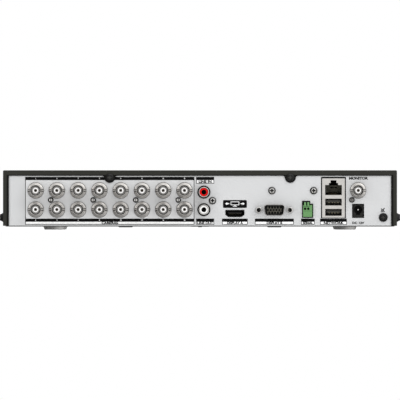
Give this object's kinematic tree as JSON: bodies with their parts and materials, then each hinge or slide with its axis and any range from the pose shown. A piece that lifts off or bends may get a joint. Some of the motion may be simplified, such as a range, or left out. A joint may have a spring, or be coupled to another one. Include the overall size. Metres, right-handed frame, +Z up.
{
  "type": "video recorder",
  "caption": "Low steel-cased surveillance video recorder with coaxial, audio, monitor, network and power sockets on its rear panel.",
  "frame": {"origin": "bottom centre of the whole object, on the surface under the feet", "axes": "-Y out of the rear panel, +X to the right when facing that panel, +Z up"},
  "size_m": [0.3208, 0.242, 0.0475],
  "materials": {
    "case_paint": "fine matt powder coat",
    "panel_paint": "fine matt light grey coat",
    "bezel_plastic": "fine texture",
    "smoked_window": "polished, smoked",
    "clear_plastic": "polished",
    "circuit_board": "solder mask",
    "lamp": "moulded",
    "foot": "moulded",
    "black_plastic": "moulded",
    "nickel": "bright plate",
    "white_insulator": "moulded",
    "gold_contact": "thin plate",
    "zinc_screw": "zinc plate",
    "black_screw": "black plate",
    "red_plastic": "moulded",
    "white_plastic": "moulded",
    "plated_steel": "bright plate",
    "blue_plastic": "moulded",
    "green_plastic": "moulded",
    "aluminium": "cast or milled",
    "dark_aluminium": "black anodised",
    "brass_stud": "turned",
    "cell_steel": "bright",
    "platter": "polished",
    "lead_jacket": "soft jacket",
    "red_jacket": "soft jacket",
    "chip": "moulded"
  },
  "bodies": {
    "chassis": {"chassis_base": "panel_paint", "top_cover": "case_paint", "front_bezel": "bezel_plastic", "infrared_window": "smoked_window", "light_pipes": "clear_plastic", "indicator_board": "circuit_board", "indicator_lamps": "lamp", "feet": "foot", "bnc_blocks": "black_plastic", "bnc_jacks_lower_row": "nickel", "bnc_jacks_upper_row": "nickel", "bnc_insulators": "white_insulator", "bnc_contacts": "gold_contact", "video_out_block": "black_plastic", "video_out_jack": "nickel", "bnc_block_screws": "zinc_screw", "audio_block": "black_plastic", "audio_jacks": "nickel", "audio_in_insert": "red_plastic", "audio_out_insert": "white_plastic", "digital_video_shell": "plated_steel", "digital_video_tongue": "black_plastic", "vga_shell": "plated_steel", "vga_insert": "blue_plastic", "vga_jackscrews": "nickel", "terminal_header": "black_plastic", "lan_usb_cage": "plated_steel", "lan_insert": "black_plastic", "lan_contacts": "gold_contact", "usb_tongues": "black_plastic", "power_jack": "black_plastic", "power_jack_pin": "nickel", "panel_screws": "zinc_screw", "cover_screws": "black_screw", "main_board": "circuit_board", "board_standoffs": "brass_stud", "board_screws": "zinc_screw", "heat_sink": "dark_aluminium", "board_chips": "chip", "capacitors": "aluminium", "coin_cell": "cell_steel", "drive_case": "aluminium", "drive_lid": "aluminium", "drive_board": "circuit_board", "drive_rails": "plated_steel", "drive_screws": "zinc_screw", "fan_frame": "black_plastic", "fan_screws": "zinc_screw", "drive_data_cable": "red_jacket", "drive_power_cable": "lead_jacket", "indicator_cable": "lead_jacket", "fan_lead": "lead_jacket"},
    "terminal_plug": {"terminal_plug": "green_plastic"},
    "left_lever": {"release_lever_left": "green_plastic"},
    "right_lever": {"release_lever_right": "green_plastic"},
    "ground_washer": {"ground_washer": "black_screw"},
    "ground_screw": {"ground_screw": "black_screw"},
    "fan_rotor": {"fan_rotor": "black_plastic"},
    "platters": {"drive_platters": "platter"},
    "head_arm": {"drive_arm": "aluminium"}
  },
  "joints": [
    {"name": "terminal_plug_slide", "type": "slide", "parent": "chassis", "child": "terminal_plug", "axis": [0, -1, 0], "range_m": [0, 0.008]},
    {"name": "left_lever_press", "type": "slide", "parent": "terminal_plug", "child": "left_lever", "axis": [0, 1, 0], "range_m": [0, 0.0012], "stiffness_N_per_m": 3000, "springref_m": -0.0005},
    {"name": "right_lever_press", "type": "slide", "parent": "terminal_plug", "child": "right_lever", "axis": [0, 1, 0], "range_m": [0, 0.0012], "stiffness_N_per_m": 3000, "springref_m": -0.0005},
    {"name": "ground_washer_lift", "type": "slide", "parent": "chassis", "child": "ground_washer", "axis": [0, -1, 0], "range_m": [0, 0.0021]},
    {"name": "ground_screw_turn", "type": "hinge", "parent": "ground_washer", "child": "ground_screw", "pos_m": [0.1465, -0.1085, 0.0098], "axis": [0, -1, 0], "range_deg": [0, 1081]},
    {"name": "fan_spin", "type": "hinge", "parent": "chassis", "child": "fan_rotor", "pos_m": [-0.1504, -0.034, 0.0252], "axis": [1, 0, 0], "continuous": true},
    {"name": "platter_spin", "type": "hinge", "parent": "chassis", "child": "platters", "pos_m": [0, 0.043, 0.02], "axis": [0, 0, 1], "continuous": true},
    {"name": "head_arm_swing", "type": "hinge", "parent": "chassis", "child": "head_arm", "pos_m": [0.028, -0.0075, 0.02], "axis": [0, 0, -1], "range_deg": [0, 28]}
  ],
  "couplings": [
    {"joint": "ground_screw_turn", "follows": "ground_washer_lift", "rad_per_m": 8976}
  ]
}
